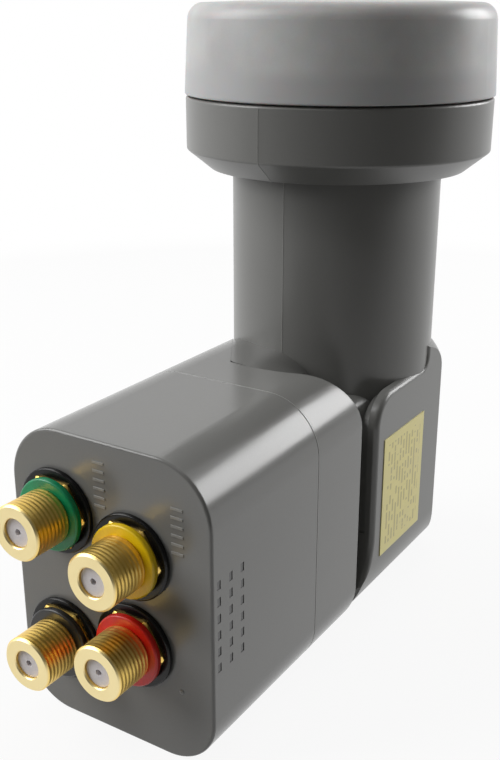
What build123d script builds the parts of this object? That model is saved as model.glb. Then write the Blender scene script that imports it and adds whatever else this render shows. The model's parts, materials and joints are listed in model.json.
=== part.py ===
from build123d import *
import os

# Quad-output satellite converter: a capped feed horn on a 40 mm neck, and a box with four F sockets.
# The neck axis is the Z axis, the box stands on z = 0 and the sockets face -Y.
# A reach is a distance ahead of the neck axis, towards -Y.

# Neck, collar and cap
neck_diameter = 40.0
collar_diameter = 57.6
collar_foot_diameter = 48.6
collar_underside = 83.8
collar_chamfer_height = 3.6
collar_height = 13.2
collar_edge_radius = 0.5
spigot_diameter = 54.4
spigot_height = 6.3
spigot_wall = 1.0
cap_fit = 0.5
cap_height = 16.1
cap_draft = 0.9
cap_wall = 1.3
cap_roof = 1.7
cap_edge_radius = 3.0
cap_foot_radius = 0.3
cap_inner_radius = 0.8
cap_crown = 0.5
cap_shadow_gap = 0.3
cap_seal_height = 1.6
cap_seal_inset = 0.3

# Box made of the front hood and the middle frame
box_width = 38.8
box_height = 51.6
box_top_radius = 10.0
box_foot_radius = 9.0
box_wall = 2.0
hood_reach = 71.8
hood_front_wall = 2.2
hood_edge_radius = 0.5
seam_reach = 40.1
seam_gap = 0.15
seam_edge_radius = 0.12
lap_length = 3.0
lap_thickness = 0.9
frame_end_radius = 30.4
frame_end_round = 0.5
frame_gap = 0.1
roof_turn = 32.0

# Grip marks on both sides of the hood
grip_columns = 3
grip_rows = 6
grip_column_pitch = 3.15
grip_row_pitch = 2.85
grip_front_reach = 70.1
grip_middle_height = 25.7
grip_mark_length = 1.5
grip_mark_width = 0.9
grip_mark_depth = 0.1

# Half shells: neck tube, rear block with its cheeks, waist and bulkhead
shell_wall = 2.0
shell_floor = 2.5
block_overhang = 0.8
block_side_end = 10.0
block_rear = 21.5
block_rear_round = 8.0
block_foot_radius = 11.5
cheek_reach = 19.4
cheek_step = 6.0
cheek_corner_radius = 6.0
cheek_edge_radius = 1.0
cheek_wall = 2.0
step_back = 2.6
step_corner_radius = 2.5
ramp_radius = 14.0
ramp_top = 18.0
toe_gap = 0.2
waist_width = 32.0
waist_foot = 4.0
waist_drop = 7.6
waist_radius = 4.0
bulkhead_thickness = 3.0
bulkhead_recess = 0.4
peg_diameter = 1.6
peg_length = 2.5
peg_clearance = 0.1

# Plain label on the right cheek
label_width = 18.0
label_height = 24.4
label_thickness = 0.15
label_inset = 3.2
label_foot = 12.2

# Cast horn, chassis and back-short cover
waveguide_diameter = 18.0
tube_wall = 1.8
horn_depth = 30.1
horn_lip = 1.6
choke_lip = 1.5
choke_width = 2.4
choke_depth = 6.0
horn_seat_rise = 2.3
horn_seat_width = 1.0
rim_clearance = 0.2
chassis_side_gap = 0.9
chassis_lift = 2.4
chassis_drop = 2.2
chassis_radius = 5.5
chassis_wall = 1.8
chassis_rear_reach = 37.0
front_plate_thickness = 3.2
web_clearance = 0.5
web_wall = 5.2
web_roof = 3.0
board_underside = 26.2
board_thickness = 0.8
backshort_depth = 8.7
backshort_floor = 2.5
backshort_wall = 3.5

# Boards, probes and chips
board_gap = 0.1
switch_board_standoff = 2.2
switch_board_thickness = 1.2
switch_board_clearance = 0.5
probe_tongue_width = 2.4
probe_tip_radius = 3.0
probe_width = 1.2
probe_gap = 0.1
probe_thickness = 0.2
header_length = 14.0
header_size = 2.5
switch_chip_size = 7.0
switch_chip_height = 1.0
switch_chip_margin = 2.0
converter_chip_size = 5.0
converter_chip_height = 0.9
converter_chip_reach = 48.0
regulator_width = 6.6
regulator_length = 6.1
regulator_height = 2.3
regulator_reach = 48.0
regulator_side = 5.4

# Cover screws
screw_diameter = 2.5
screw_head_diameter = 4.6
screw_head_height = 1.6
screw_depth = 9.0
screw_boss_diameter = 6.4
screw_web_reach = 26.0

# F sockets, two columns of two
socket_gap = 0.15
socket_shift = 2.6
socket_middle_height = 26.3
inner_row_gap = 1.2
row_stagger = 3.85
barrel_diameter = 9.3
barrel_reach = 9.6
barrel_rim_chamfer = 0.35
barrel_relief = 0.25
socket_bore = 4.8
hex_flats = 11.0
hex_height = 0.5
washer_diameter = 14.4
washer_height = 0.9
washer_round = 0.3
ident_diameter = 12.2
ident_height = 1.2
ident_round = 0.35
insulator_recess = 0.6
insulator_face = 0.9
contact_diameter = 1.8
contact_hole = 1.1
contact_depth = 4.0
contact_tail = 0.6
hood_hole_clearance = 0.35
plate_clearance = 0.05
slip = 0.04

# Sizes that follow from those above
neck_radius = neck_diameter / 2
collar_radius = collar_diameter / 2
box_half = box_width / 2
block_half = box_half + block_overhang
cheek_top = box_height - cheek_step
waist_top = box_height - waist_drop
chassis_half = box_half - box_wall - chassis_side_gap
chassis_foot = box_wall + chassis_lift
chassis_top = box_height - box_wall - chassis_drop
waveguide_radius = waveguide_diameter / 2
tube_radius = waveguide_radius + tube_wall
collar_floor = collar_underside + shell_wall
collar_shoulder = collar_underside + collar_chamfer_height
collar_top = collar_underside + collar_height
spigot_radius = spigot_diameter / 2
spigot_top = collar_top + spigot_height
rim_bore_radius = spigot_radius - spigot_wall
horn_rim_radius = rim_bore_radius - rim_clearance
horn_bore_radius = horn_rim_radius - horn_seat_width
horn_seat = collar_top + horn_seat_rise
choke_inner_radius = horn_rim_radius - choke_lip - choke_width
horn_mouth_radius = choke_inner_radius - horn_lip
cap_radius = spigot_radius + cap_fit + cap_wall
cap_foot = collar_top + cap_shadow_gap
cap_top = cap_foot + cap_height
cap_ceiling = cap_top - cap_roof
horn_rim_top = cap_ceiling - cap_seal_height
horn_throat = horn_rim_top - horn_depth
board_top = board_underside + board_thickness
hood_inside = hood_reach - hood_front_wall
plate_back = hood_inside - front_plate_thickness
switch_board_front = plate_back - switch_board_standoff
switch_board_back = switch_board_front - switch_board_thickness
switch_board_top = chassis_top - chassis_wall - switch_board_clearance
room_half = chassis_half - chassis_wall
room_rear = chassis_rear_reach + chassis_wall
web_half = waist_width / 2 - shell_wall - web_clearance
web_foot = waist_foot + shell_wall + web_clearance
web_top = waist_top - shell_wall - web_clearance
channel_half = web_half - web_wall
backshort_radius = waveguide_radius + backshort_wall
washer_face = hood_reach + washer_height
hex_face = washer_face + hex_height
ident_face = hex_face + ident_height
barrel_face = hood_reach + barrel_reach
barrel_radius = barrel_diameter / 2
relief_radius = barrel_radius - barrel_relief
washer_radius = washer_diameter / 2
socket_side = washer_radius + socket_gap / 2
left_column = -socket_side - socket_shift
right_column = socket_side - socket_shift
inner_row_half = washer_radius + inner_row_gap / 2
outer_row_half = inner_row_half + row_stagger

# Each socket: its colour, its side and its height
sockets = {
    "green": (left_column, socket_middle_height + outer_row_half),
    "yellow": (right_column, socket_middle_height + inner_row_half),
    "black": (left_column, socket_middle_height - outer_row_half),
    "red": (right_column, socket_middle_height - inner_row_half),
}
screw_boss_side = room_half - screw_boss_diameter / 2 + chassis_wall / 2
screw_rear_reach = chassis_rear_reach + screw_boss_diameter / 2
screw_front_reach = switch_board_back - screw_boss_diameter / 2 - switch_board_clearance
screw_web_side = web_half - web_wall / 2
screw_places = [
    (side * across, reach)
    for side in (-1, 1)
    for across, reach in (
        (screw_boss_side, screw_rear_reach),
        (screw_boss_side, screw_front_reach),
        (screw_web_side, screw_web_reach),
    )
]


def section(half, foot, top, foot_radius, top_radius):
    """Rounded rectangle seen from the front, with its own radius at the foot and at the top."""
    outline = Pos(0, (foot + top) / 2) * Rectangle(2 * half, top - foot)
    outline = fillet(outline.vertices().group_by(Axis.Y)[-1], top_radius)
    return fillet(outline.vertices().group_by(Axis.Y)[0], foot_radius)


def prism(outline, start, end):
    """Front outline run ahead from one reach to another."""
    return extrude(Plane.XZ.offset(start) * outline, amount=end - start)


def rod(x, z, radius, start, end):
    """Round bar along the socket axis, from one reach to another."""
    return prism(Pos(x, z) * Circle(radius), start, end)


def turned(*points):
    """Solid turned about the neck axis from points of radius and height."""
    return revolve(Plane.XZ * make_face(Polyline(*points, close=True)), Axis.Z)


def upright(radius, foot, top, x=0.0, reach=0.0):
    """Round bar parallel to the neck."""
    return extrude(Pos(x, -reach, foot) * Circle(radius), amount=top - foot)


def block(half, start, end, foot, top):
    """Plain bar, centred across, between two reaches and two heights."""
    return Pos(0, -(start + end) / 2, (foot + top) / 2) * Box(2 * half, end - start, top - foot)


def web_slab(start, end, foot, top):
    """Part of the casting's web through the waist, its corners rounded to clear the tunnel."""
    outline = section(web_half, web_foot, web_top, waist_radius - shell_wall, waist_radius - shell_wall)
    return prism(outline, start, end) & block(web_half, start, end, foot, top)


def rim(shape, radius, height):
    """Round edge of a turned solid at one radius and height."""
    return shape.edges().filter_by(GeomType.CIRCLE).sort_by_distance((radius, 0, height))[0]


def right_room():
    """All the room to the right of the middle plane."""
    sides = (Align.MIN, Align.CENTER, Align.CENTER)
    return Box(collar_diameter, 2 * hood_reach, 2 * cap_top, align=sides)


def save(name, shape):
    """Write one node."""
    export_step(shape, f"parts/{name}.step")


def make_feed_cap():
    """Weather cap of the horn: a drafted cup with a rounded, slightly crowned roof."""
    outer = turned((0, cap_foot), (cap_radius, cap_foot), (cap_radius - cap_draft, cap_top), (0, cap_top))
    outer = fillet(outer.edges().group_by(Axis.Z)[-1], cap_edge_radius)
    crown_radius = cap_radius - cap_draft - cap_edge_radius
    dome_radius = (crown_radius**2 + cap_crown**2) / (2 * cap_crown)
    dome = Pos(0, 0, cap_top + cap_crown - dome_radius) * Sphere(dome_radius)
    outer += dome & upright(crown_radius, cap_top - cap_roof / 2, cap_top + cap_crown)
    outer = fillet(rim(outer, cap_radius, cap_foot), cap_foot_radius)
    inner_radius = cap_radius - cap_wall
    inner = turned(
        (0, cap_foot), (inner_radius, cap_foot), (inner_radius - cap_draft, cap_ceiling), (0, cap_ceiling)
    )
    inner = fillet(inner.edges().group_by(Axis.Z)[-1], cap_inner_radius)
    return outer - inner


def make_cap_seal():
    """Flat sealing ring between the horn's rim and the cap's roof."""
    outer = horn_rim_radius - cap_seal_inset
    ring = upright(outer, horn_rim_top, cap_ceiling)
    return ring - upright(outer - choke_lip, horn_rim_top, cap_ceiling)


def rear_block():
    """Rear block below the neck: cheeks with a forward ramp at the foot and a step under the clamp."""
    side = Line((block_half, -frame_end_radius), (block_half, block_side_end))
    back = ThreePointArc((block_half, block_side_end), (0, block_rear), (-block_half, block_side_end))
    other = Line((-block_half, block_side_end), (-block_half, -frame_end_radius))
    front = Line((-block_half, -frame_end_radius), (block_half, -frame_end_radius))
    plan = make_face([side, back, other, front]) & Circle(frame_end_radius - toe_gap)
    ramp_reach = cheek_reach + ramp_radius
    ramp_foot = ramp_top - ramp_radius
    profile = make_face(
        [
            Line((-ramp_reach, 0), (-ramp_reach, ramp_foot)),
            RadiusArc((-ramp_reach, ramp_foot), (-cheek_reach, ramp_top), -ramp_radius),
            Line((-cheek_reach, ramp_top), (-cheek_reach, cheek_top)),
            Line((-cheek_reach, cheek_top), (step_back, cheek_top)),
            Line((step_back, cheek_top), (step_back, box_height)),
            Line((step_back, box_height), (block_rear, box_height)),
            Line((block_rear, box_height), (block_rear, 0)),
            Line((block_rear, 0), (-ramp_reach, 0)),
        ]
    )
    front_corner = profile.vertices().sort_by_distance((-cheek_reach, cheek_top))[0]
    profile = fillet(front_corner, cheek_corner_radius)
    step_corner = profile.vertices().sort_by_distance((step_back, cheek_top))[0]
    profile = fillet(step_corner, step_corner_radius)
    sides = extrude(Plane.YZ * profile, amount=block_half, both=True)
    cheek_faces = sides.faces().sort_by(Axis.X)
    sides = fillet(cheek_faces[0].edges() + cheek_faces[-1].edges(), cheek_edge_radius)
    solid = extrude(plan, amount=box_height) & sides
    rise = block_rear - block_side_end
    back_radius = (block_half**2 + rise**2) / (2 * rise)
    back = upright(back_radius, 0, box_height)
    back = fillet(rim(back, back_radius, box_height), block_rear_round)
    rear_room = Pos(0, block_rear - back_radius, 0) * back
    solid = solid & (rear_room + block(block_half, 0, frame_end_radius, 0, box_height))
    return solid - block(block_half - cheek_wall, 0, frame_end_radius, ramp_top, box_height)


def make_shells():
    """Left and right half shells of collar, neck, rear block, waist and bulkhead."""
    body = turned(
        (0, 0),
        (neck_radius, 0),
        (neck_radius, collar_underside),
        (collar_foot_diameter / 2, collar_underside),
        (collar_radius, collar_shoulder),
        (collar_radius, collar_top),
        (spigot_radius, collar_top),
        (spigot_radius, spigot_top),
        (0, spigot_top),
    )
    for radius, height in (
        (collar_foot_diameter / 2, collar_underside),
        (collar_radius, collar_shoulder),
        (collar_radius, collar_top),
    ):
        body = fillet(rim(body, radius, height), collar_edge_radius)
    body += rear_block()
    foot_trim = section(block_half, 0, spigot_top, block_foot_radius, block_foot_radius)
    foot_room = prism(foot_trim, -neck_diameter, neck_diameter)
    body = body & (foot_room + upright(cap_radius + collar_radius, waist_top, spigot_top))
    waist = section(waist_width / 2, waist_foot, waist_top, waist_radius, waist_radius)
    bulkhead_back = frame_end_radius + bulkhead_recess
    bulkhead_front = bulkhead_back + bulkhead_thickness
    body += prism(waist, 0, bulkhead_front) & upright(bulkhead_front, 0, box_height)
    inside = box_wall + slip
    plate = section(
        box_half - inside, inside, box_height - inside, box_foot_radius - inside, box_top_radius - inside
    )
    plate = prism(plate, 0, bulkhead_front) & upright(bulkhead_front, 0, box_height)
    body += plate - upright(bulkhead_back, 0, box_height)
    bore_radius = neck_radius - shell_wall
    chamfer_width = collar_radius - collar_foot_diameter / 2
    bore = turned(
        (0, shell_floor),
        (bore_radius, shell_floor),
        (bore_radius, collar_floor),
        (horn_bore_radius - chamfer_width / 2, collar_floor),
        (horn_bore_radius, collar_floor + collar_chamfer_height / 2),
        (horn_bore_radius, horn_seat),
        (rim_bore_radius, horn_seat),
        (rim_bore_radius, spigot_top),
        (0, spigot_top),
    )
    body -= fillet(rim(bore, bore_radius, shell_floor), block_foot_radius - shell_floor)
    tunnel = section(
        waist_width / 2 - shell_wall,
        waist_foot + shell_wall,
        waist_top - shell_wall,
        waist_radius - shell_wall,
        waist_radius - shell_wall,
    )
    body -= prism(tunnel, 0, bulkhead_front)
    right = body & right_room()
    left = body & (Rot(0, 0, 180) * right_room())
    collar_peg_reach = (collar_radius + horn_bore_radius) / 2
    collar_peg_height = (collar_shoulder + collar_top) / 2
    block_peg_reach = -(block_rear + bore_radius) / 2
    for reach, height in (
        (collar_peg_reach, collar_peg_height),
        (-collar_peg_reach, collar_peg_height),
        (block_peg_reach, cheek_top),
        (block_peg_reach, shell_floor + shell_wall),
    ):
        peg_place = Plane(origin=(0, -reach, height), x_dir=(0, 1, 0), z_dir=(1, 0, 0))
        peg = extrude(peg_place * Circle(peg_diameter / 2), amount=peg_length, both=True)
        hole_outline = peg_place * Circle(peg_diameter / 2 + peg_clearance)
        hole = extrude(hole_outline, amount=peg_length + peg_clearance, both=True)
        right += peg
        left -= hole
    return left, right


def make_middle_frame():
    """Sleeve ahead of the neck, hollowed round it, with a web of its roof run past it on the left."""
    outer = section(box_half, 0, box_height, box_foot_radius, box_top_radius)
    inner = section(
        box_half - box_wall,
        box_wall,
        box_height - box_wall,
        box_foot_radius - box_wall,
        box_top_radius - box_wall,
    )
    rebate_wall = box_wall - lap_thickness - slip
    rebate = section(
        box_half - rebate_wall,
        rebate_wall,
        box_height - rebate_wall,
        box_foot_radius - rebate_wall,
        box_top_radius - rebate_wall,
    )
    frame = prism(outer, 0, seam_reach)
    frame = fillet(frame.faces().sort_by(Axis.Y)[0].edges(), seam_edge_radius)
    frame -= upright(frame_end_radius, 0, box_height)
    hollow_end = frame.faces().filter_by(GeomType.CYLINDER).sort_by(lambda face: face.radius)[-1]
    frame = fillet(hollow_end.edges(), frame_end_round)
    web = prism(outer, 0, seam_reach - lap_length)
    web -= block(box_half, 0, seam_reach, 0, cheek_top + frame_gap)
    beside_neck = Pos(-neck_radius - frame_gap, 0, 0) * Rot(0, 0, 180) * right_room()
    frame += web & (Rot(0, 0, roof_turn) * beside_neck)
    frame -= prism(inner, 0, seam_reach)
    return frame - prism(rebate, seam_reach - lap_length - slip, seam_reach)


def make_front_hood():
    """Front cover with a lapped rear edge, four socket holes and grip marks on both sides."""
    outer = section(box_half, 0, box_height, box_foot_radius, box_top_radius)
    inner = section(
        box_half - box_wall,
        box_wall,
        box_height - box_wall,
        box_foot_radius - box_wall,
        box_top_radius - box_wall,
    )
    tongue_wall = box_wall - lap_thickness
    tongue = section(
        box_half - tongue_wall,
        tongue_wall,
        box_height - tongue_wall,
        box_foot_radius - tongue_wall,
        box_top_radius - tongue_wall,
    )
    hood = prism(outer, seam_reach + seam_gap, hood_reach)
    hood = fillet(hood.faces().sort_by(Axis.Y)[0].edges(), hood_edge_radius)
    hood = fillet(hood.faces().sort_by(Axis.Y)[-1].edges(), seam_edge_radius)
    hood += prism(tongue, seam_reach - lap_length, hood_reach - hood_front_wall)
    hood -= prism(inner, seam_reach - lap_length, hood_inside)
    for x, z in sockets.values():
        hood -= rod(x, z, barrel_radius + hood_hole_clearance, hood_inside, hood_reach)
    mark = Box(2 * grip_mark_depth, grip_mark_width, grip_mark_length)
    first_row = grip_middle_height - grip_row_pitch * (grip_rows - 1) / 2
    for side in (-1, 1):
        for column in range(grip_columns):
            for row in range(grip_rows):
                y = -grip_front_reach + grip_column_pitch * column
                z = first_row + grip_row_pitch * row
                hood -= Pos(side * box_half, y, z) * mark
    return hood


def make_label():
    """Plain sticker on the right cheek."""
    middle_y = label_inset - cheek_reach + label_width / 2
    middle_z = label_foot + label_height / 2
    sheet = Box(label_thickness, label_width, label_height, align=(Align.MIN, Align.CENTER, Align.CENTER))
    return Pos(block_half, middle_y, middle_z) * sheet


def make_horn_chassis():
    """Casting of the horn, the upper waveguide, the upper chassis and the socket plate."""
    slope = (horn_mouth_radius - waveguide_radius) / horn_depth
    seat_radius = tube_radius + slope * (horn_seat - horn_throat)
    casting = turned(
        (0, board_top),
        (tube_radius, board_top),
        (tube_radius, horn_throat),
        (seat_radius, horn_seat),
        (horn_rim_radius, horn_seat),
        (horn_rim_radius, horn_rim_top),
        (0, horn_rim_top),
    )
    casting -= turned(
        (choke_inner_radius, horn_rim_top - choke_depth),
        (choke_inner_radius + choke_width, horn_rim_top - choke_depth),
        (choke_inner_radius + choke_width, horn_rim_top),
        (choke_inner_radius, horn_rim_top),
    )
    casting += upright(backshort_radius, board_top, board_top + backshort_wall)
    casting += web_slab(0, chassis_rear_reach, board_top, web_top)
    casting -= block(channel_half, backshort_radius, chassis_rear_reach, board_top, web_top - web_roof)
    shape = section(chassis_half, chassis_foot, chassis_top, chassis_radius, chassis_radius)
    box = prism(shape, chassis_rear_reach, hood_inside) & block(
        chassis_half, chassis_rear_reach, hood_inside, board_top, chassis_top
    )
    room = block(room_half, room_rear, plate_back, board_top, chassis_top - chassis_wall)
    casting += box - room
    casting += prism(shape, plate_back, hood_inside)
    for x, reach in screw_places:
        if reach > chassis_rear_reach:
            casting += upright(screw_boss_diameter / 2, board_top, chassis_top - chassis_wall / 2, x, reach)
    casting -= block(channel_half, chassis_rear_reach, room_rear, board_top, web_top - web_roof)
    casting -= turned(
        (0, board_top),
        (waveguide_radius, board_top),
        (waveguide_radius, horn_throat),
        (horn_mouth_radius, horn_rim_top),
        (0, horn_rim_top),
    )
    for x, reach in screw_places:
        casting -= upright(screw_diameter / 2 + slip, board_top, board_top + screw_depth, x, reach)
    for x, z in sockets.values():
        casting -= rod(x, z, barrel_radius + plate_clearance, plate_back, hood_inside)
    return casting


def make_backshort_cover():
    """Lower casting: closes the waveguide's end and the chassis under the board."""
    cover = upright(backshort_radius, board_underside - backshort_depth - backshort_floor, board_underside)
    cover += web_slab(0, chassis_rear_reach, web_foot, board_underside)
    cover -= block(channel_half, backshort_radius, chassis_rear_reach, web_foot + web_roof, board_underside)
    shape = section(chassis_half, chassis_foot, chassis_top, chassis_radius, chassis_radius)
    tub = prism(shape, chassis_rear_reach, plate_back) & block(
        chassis_half, chassis_rear_reach, plate_back, chassis_foot, board_underside
    )
    tub -= block(room_half, room_rear, plate_back, chassis_foot + chassis_wall, board_underside)
    cover += tub
    for x, reach in screw_places:
        if reach > chassis_rear_reach:
            cover += upright(screw_boss_diameter / 2, chassis_foot, board_underside, x, reach)
    cover -= block(channel_half, chassis_rear_reach, room_rear, web_foot + web_roof, board_underside)
    cover -= upright(waveguide_radius, board_underside - backshort_depth, board_underside)
    for x, reach in screw_places:
        foot = web_foot if reach < chassis_rear_reach else chassis_foot
        cover -= upright(screw_diameter / 2 + slip, foot, board_underside, x, reach)
        cover -= upright(screw_head_diameter / 2 + slip, foot, foot + screw_head_height, x, reach)
    return cover


def make_cover_screws():
    """Six screws that close the cover on the chassis, heads flush with its foot."""
    screws = []
    for x, reach in screw_places:
        foot = web_foot if reach < chassis_rear_reach else chassis_foot
        head = upright(screw_head_diameter / 2, foot, foot + screw_head_height, x, reach)
        shank = upright(screw_diameter / 2, foot, board_top + screw_depth - slip, x, reach)
        screws.append(head + shank)
    return Compound(screws)


def make_boards():
    """Converter board clamped between the castings, and switch board behind the sockets."""
    converter = upright(backshort_radius, board_underside, board_top)
    converter += block(web_half, 0, chassis_rear_reach, board_underside, board_top)
    board_end = switch_board_back - board_gap
    converter += block(chassis_half, chassis_rear_reach, board_end, board_underside, board_top)
    window = upright(waveguide_radius, board_underside, board_top)
    tongue_length = waveguide_radius - probe_tip_radius
    tongue_middle = (waveguide_radius + probe_tip_radius) / 2
    for turn in (0, 90):
        tongue = Pos(0, -tongue_middle, (board_underside + board_top) / 2) * Box(
            probe_tongue_width, tongue_length, board_thickness
        )
        window -= Rot(0, 0, turn) * tongue
    converter -= window
    for x, reach in screw_places:
        converter -= upright(screw_diameter / 2 + slip, board_underside, board_top, x, reach)
    switch = block(
        room_half - switch_board_clearance,
        switch_board_back,
        switch_board_front,
        chassis_foot + chassis_wall + switch_board_clearance,
        switch_board_top,
    )
    for x, z in sockets.values():
        switch -= rod(x, z, contact_diameter / 2 + slip, switch_board_back, switch_board_front)
    return converter, switch


def make_probe(turn):
    """Flat pick-up probe soldered on a tongue of the converter board, turned about the waveguide."""
    strip = Box(
        probe_width,
        waveguide_radius - probe_gap - probe_tip_radius,
        probe_thickness,
        align=(Align.CENTER, Align.MAX, Align.MIN),
    )
    return Rot(0, 0, turn) * Pos(0, -probe_tip_radius, board_top) * strip


def make_board_parts():
    """Pin header between the boards and the larger chips on them."""
    header_back = switch_board_back - header_size
    header = block(header_length / 2, header_back, switch_board_back, board_top, board_top + header_size)
    behind_board = (Align.CENTER, Align.MIN, Align.CENTER)
    chip_height = switch_board_top - switch_chip_margin - switch_chip_size / 2
    switch_chip = Pos(0, -switch_board_back, chip_height) * Box(
        switch_chip_size, switch_chip_height, switch_chip_size, align=behind_board
    )
    on_board = (Align.CENTER, Align.CENTER, Align.MIN)
    converter_chip = Pos(-regulator_side / 2, -converter_chip_reach, board_top) * Box(
        converter_chip_size, converter_chip_size, converter_chip_height, align=on_board
    )
    regulator = Pos(regulator_side, -regulator_reach, board_top) * Box(
        regulator_width, regulator_length, regulator_height, align=on_board
    )
    return {
        "board_header": header,
        "switch_chip": switch_chip,
        "converter_chip": converter_chip,
        "voltage_regulator": regulator,
    }


def make_socket(x, z):
    """One F socket: body, ident ring, sealing washer, insulator and centre contact."""
    body = rod(x, z, barrel_radius, plate_back, barrel_face)
    body = chamfer(body.edges().group_by(Axis.Y)[0], barrel_rim_chamfer)
    hexagon = Pos(x, z) * RegularPolygon(hex_flats / 2, 6, major_radius=False)
    body -= rod(x, z, barrel_radius, hex_face, ident_face) - rod(x, z, relief_radius, hex_face, ident_face)
    body += prism(hexagon, washer_face, hex_face)
    body -= rod(x, z, socket_bore / 2, plate_back, barrel_face)
    washer = rod(x, z, washer_radius, hood_reach, washer_face)
    washer = fillet(washer.edges(), washer_round)
    washer -= rod(x, z, barrel_radius + slip, hood_reach, washer_face)
    ring = rod(x, z, ident_diameter / 2, hex_face, ident_face)
    ring = fillet(ring.edges(), ident_round)
    ring -= rod(x, z, relief_radius + slip, hex_face, ident_face)
    insulator_end = barrel_face - insulator_recess
    contact_end = insulator_end - insulator_face
    contact_start = switch_board_back - contact_tail
    insulator = rod(x, z, socket_bore / 2 - slip, plate_back, insulator_end)
    insulator -= rod(x, z, contact_diameter / 2 + slip, plate_back, contact_end)
    insulator -= rod(x, z, contact_hole / 2, contact_end, insulator_end)
    contact = rod(x, z, contact_diameter / 2, contact_start, contact_end)
    contact -= rod(x, z, contact_hole / 2, contact_end - contact_depth, contact_end)
    return {
        "socket": body,
        "ident_ring": ring,
        "seal_washer": washer,
        "insulator": insulator,
        "contact": contact,
    }


os.makedirs("parts", exist_ok=True)
save("feed_cap", make_feed_cap())
save("cap_seal", make_cap_seal())
left_shell, right_shell = make_shells()
save("left_shell", left_shell)
save("right_shell", right_shell)
save("middle_frame", make_middle_frame())
save("front_hood", make_front_hood())
save("side_label", make_label())
save("horn_chassis", make_horn_chassis())
save("backshort_cover", make_backshort_cover())
save("cover_screws", make_cover_screws())
converter_board, switch_board = make_boards()
save("converter_board", converter_board)
save("switch_board", switch_board)
save("front_probe", make_probe(0))
save("side_probe", make_probe(90))
for part_name, part in make_board_parts().items():
    save(part_name, part)
for colour, (socket_x, socket_z) in sockets.items():
    for part_name, part in make_socket(socket_x, socket_z).items():
        save(f"{colour}_{part_name}", part)
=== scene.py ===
import json
import logging
import math
from collections.abc import Callable, Sequence
from dataclasses import dataclass, field
from enum import Enum

import bmesh
import bpy
from mathutils import Matrix, Vector

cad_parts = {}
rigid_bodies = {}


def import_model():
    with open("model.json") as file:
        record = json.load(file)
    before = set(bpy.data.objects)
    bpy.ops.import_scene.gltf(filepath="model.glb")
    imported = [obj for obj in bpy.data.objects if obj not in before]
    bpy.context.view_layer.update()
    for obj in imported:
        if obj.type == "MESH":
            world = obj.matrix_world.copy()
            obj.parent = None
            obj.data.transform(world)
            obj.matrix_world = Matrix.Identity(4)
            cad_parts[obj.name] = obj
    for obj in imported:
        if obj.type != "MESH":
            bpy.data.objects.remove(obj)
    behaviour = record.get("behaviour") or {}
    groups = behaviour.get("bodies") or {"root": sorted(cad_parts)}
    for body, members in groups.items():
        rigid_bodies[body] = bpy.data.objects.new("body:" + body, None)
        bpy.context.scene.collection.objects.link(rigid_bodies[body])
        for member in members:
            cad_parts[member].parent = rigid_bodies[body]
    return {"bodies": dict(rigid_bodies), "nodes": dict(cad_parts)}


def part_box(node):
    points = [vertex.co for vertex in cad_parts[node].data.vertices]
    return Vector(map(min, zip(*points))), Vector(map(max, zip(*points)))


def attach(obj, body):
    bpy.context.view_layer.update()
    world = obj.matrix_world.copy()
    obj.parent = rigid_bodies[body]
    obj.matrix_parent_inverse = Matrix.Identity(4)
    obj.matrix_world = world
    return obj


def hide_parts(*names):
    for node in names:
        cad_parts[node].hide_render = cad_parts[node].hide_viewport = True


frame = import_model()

# Dresses the quad-output satellite converter: finishes for the moulded and cast pieces, threaded
# sockets, moulded marks and seam beads, and the studio that shows them. Lengths are in metres.

MM = 0.001
BODY = "root"
# Nearly all of a noise lies between these two values.
NOISE_LOW, NOISE_HIGH = 0.25, 0.75

Colour = tuple[float, float, float]
Point = tuple[float, float, float]

log = logging.getLogger("converter")


class Port(Enum):
    """The four outputs, each named by the colour of its ring."""

    GREEN = "green"
    YELLOW = "yellow"
    BLACK = "black"
    RED = "red"

    def node(self, piece: str) -> str:
        """Name of one of the port's CAD nodes."""
        return f"{self.value}_{piece}"


class Side(Enum):
    """Front or back of the neck, as a factor on Y."""

    FRONT = -1
    BACK = 1


DYES: dict[Port, tuple[Colour, Colour]] = {
    Port.GREEN: ((0.0, 0.29, 0.12), (0.0, 0.22, 0.08)),
    Port.YELLOW: ((0.95, 0.66, 0.005), (0.86, 0.56, 0.003)),
    Port.BLACK: ((0.014, 0.014, 0.014), (0.008, 0.008, 0.008)),
    Port.RED: ((0.78, 0.016, 0.008), (0.64, 0.01, 0.005)),
}


def direction(azimuth: float, elevation: float = 0.0) -> Vector:
    """Unit vector from the object towards a place round it.

    Args:
        azimuth: Degrees from -Y towards +X.
        elevation: Degrees above the floor.

    Returns:
        The vector.
    """
    turn, lift = math.radians(azimuth), math.radians(elevation)
    flat = math.cos(lift)
    return Vector((math.sin(turn) * flat, -math.cos(turn) * flat, math.sin(lift)))


def level(radius: float) -> Callable[[float], float]:
    """Same radius at every angle."""
    return lambda angle: radius


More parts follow.
